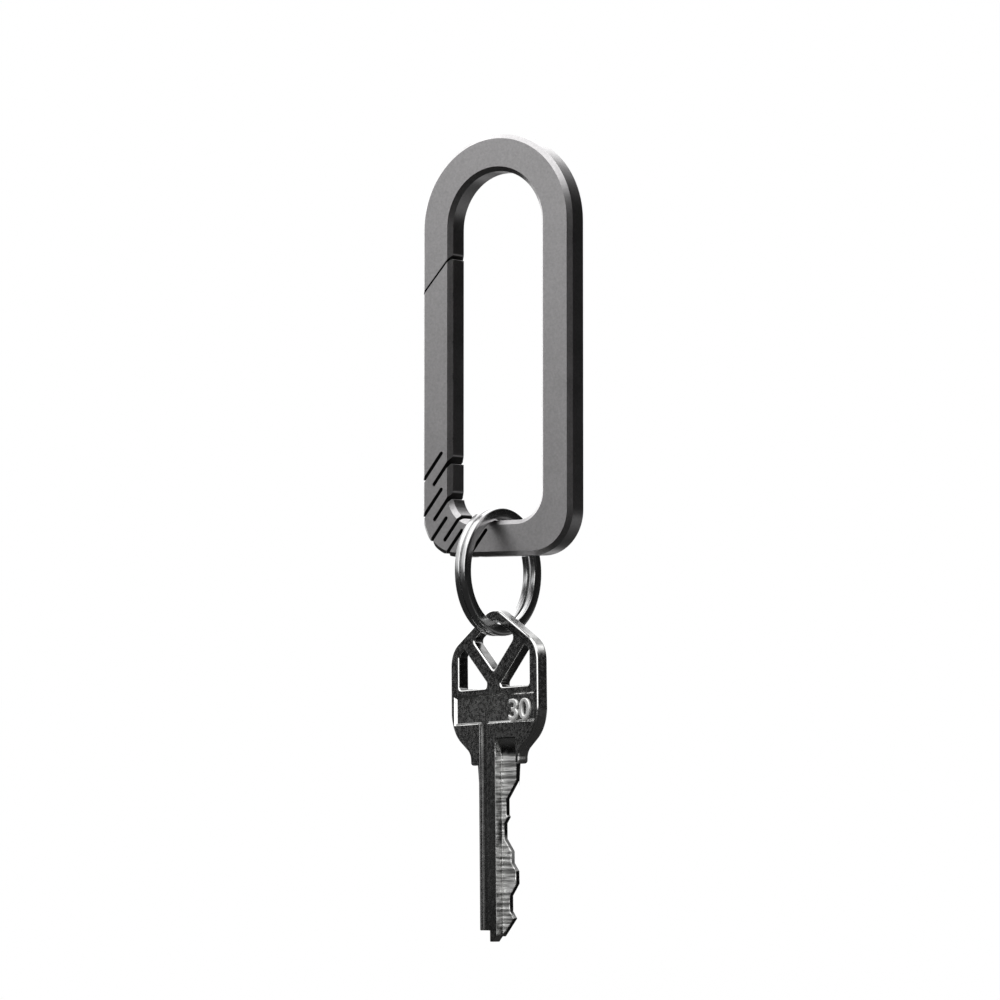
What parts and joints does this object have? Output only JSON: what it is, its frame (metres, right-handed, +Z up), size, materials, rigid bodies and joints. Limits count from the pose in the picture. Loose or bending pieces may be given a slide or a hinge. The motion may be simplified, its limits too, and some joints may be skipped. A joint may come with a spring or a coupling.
{
  "type": "key organiser",
  "caption": "Flat carabiner cut from one plate, its gate bending on a slit spring, with a split ring on the lower bar and a house key on the ring.",
  "frame": {"origin": "centre of the carabiner's top arch, halfway through its thickness", "axes": "+X from the gate to the solid leg, +Y from the front face to the back face, +Z up along the hanging object"},
  "size_m": [0.029, 0.0204, 0.1285],
  "materials": {
    "carabiner_metal": "bead-blasted, dark grey",
    "ring_steel": "black-coated, satin",
    "key_metal": "worn nickel plate"
  },
  "bodies": {
    "frame": {"frame": "carabiner_metal"},
    "leaf_1": {"flexure_leaf_1": "carabiner_metal"},
    "leaf_2": {"flexure_leaf_2": "carabiner_metal"},
    "leaf_3": {"flexure_leaf_3": "carabiner_metal"},
    "leaf_4": {"flexure_leaf_4": "carabiner_metal"},
    "leaf_5": {"flexure_leaf_5": "carabiner_metal"},
    "leaf_6": {"flexure_leaf_6": "carabiner_metal"},
    "leaf_7": {"flexure_leaf_7": "carabiner_metal"},
    "leaf_8": {"flexure_leaf_8": "carabiner_metal"},
    "gate": {"gate": "carabiner_metal"},
    "ring": {"split_ring": "ring_steel"},
    "key": {"house_key": "key_metal"}
  },
  "joints": [
    {"name": "neck_1_bend", "type": "hinge", "parent": "frame", "child": "leaf_1", "pos_m": [-0.00046, 0, -0.04725], "axis": [0, 1, 0], "range_deg": [0, 1.6], "stiffness_Nm_per_rad": 0.045},
    {"name": "neck_2_bend", "type": "hinge", "parent": "leaf_1", "child": "leaf_2", "pos_m": [-0.00568, 0, -0.051], "axis": [0, 1, 0], "range_deg": [0, 1.6], "stiffness_Nm_per_rad": 0.045},
    {"name": "neck_3_bend", "type": "hinge", "parent": "leaf_2", "child": "leaf_3", "pos_m": [-0.00512, 0, -0.04713], "axis": [0, 1, 0], "range_deg": [0, 1.6], "stiffness_Nm_per_rad": 0.045},
    {"name": "neck_4_bend", "type": "hinge", "parent": "leaf_3", "child": "leaf_4", "pos_m": [-0.00991, 0, -0.05036], "axis": [0, 1, 0], "range_deg": [0, 1.6], "stiffness_Nm_per_rad": 0.045},
    {"name": "neck_5_bend", "type": "hinge", "parent": "leaf_4", "child": "leaf_5", "pos_m": [-0.00805, 0, -0.0449], "axis": [0, 1, 0], "range_deg": [0, 1.6], "stiffness_Nm_per_rad": 0.045},
    {"name": "neck_6_bend", "type": "hinge", "parent": "leaf_5", "child": "leaf_6", "pos_m": [-0.01201, 0, -0.04712], "axis": [0, 1, 0], "range_deg": [0, 1.6], "stiffness_Nm_per_rad": 0.045},
    {"name": "neck_7_bend", "type": "hinge", "parent": "leaf_6", "child": "leaf_7", "pos_m": [-0.0086, 0, -0.03976], "axis": [0, 1, 0], "range_deg": [0, 1.6], "stiffness_Nm_per_rad": 0.045},
    {"name": "neck_8_bend", "type": "hinge", "parent": "leaf_7", "child": "leaf_8", "pos_m": [-0.0122, 0, -0.04154], "axis": [0, 1, 0], "range_deg": [0, 1.6], "stiffness_Nm_per_rad": 0.045},
    {"name": "neck_9_bend", "type": "hinge", "parent": "leaf_8", "child": "gate", "pos_m": [-0.0086, 0, -0.03395], "axis": [0, 1, 0], "range_deg": [0, 1.6], "stiffness_Nm_per_rad": 0.045},
    {"name": "ring_swing", "type": "hinge", "parent": "frame", "child": "ring", "pos_m": [-0.00075, 0, -0.05245], "axis": [0.9991, -0.0419, 0], "range_deg": [-90, 90]},
    {"name": "key_swing", "type": "hinge", "parent": "ring", "child": "key", "pos_m": [-0.00086, 0, -0.06538], "axis": [0.0419, 0.9991, 0], "range_deg": [-70, 70]}
  ],
  "couplings": [
    {"joint": "neck_2_bend", "follows": "neck_1_bend", "ratio": 1},
    {"joint": "neck_3_bend", "follows": "neck_1_bend", "ratio": 1},
    {"joint": "neck_4_bend", "follows": "neck_1_bend", "ratio": 1},
    {"joint": "neck_5_bend", "follows": "neck_1_bend", "ratio": 1},
    {"joint": "neck_6_bend", "follows": "neck_1_bend", "ratio": 1},
    {"joint": "neck_7_bend", "follows": "neck_1_bend", "ratio": 1},
    {"joint": "neck_8_bend", "follows": "neck_1_bend", "ratio": 1},
    {"joint": "neck_9_bend", "follows": "neck_1_bend", "ratio": 1}
  ]
}
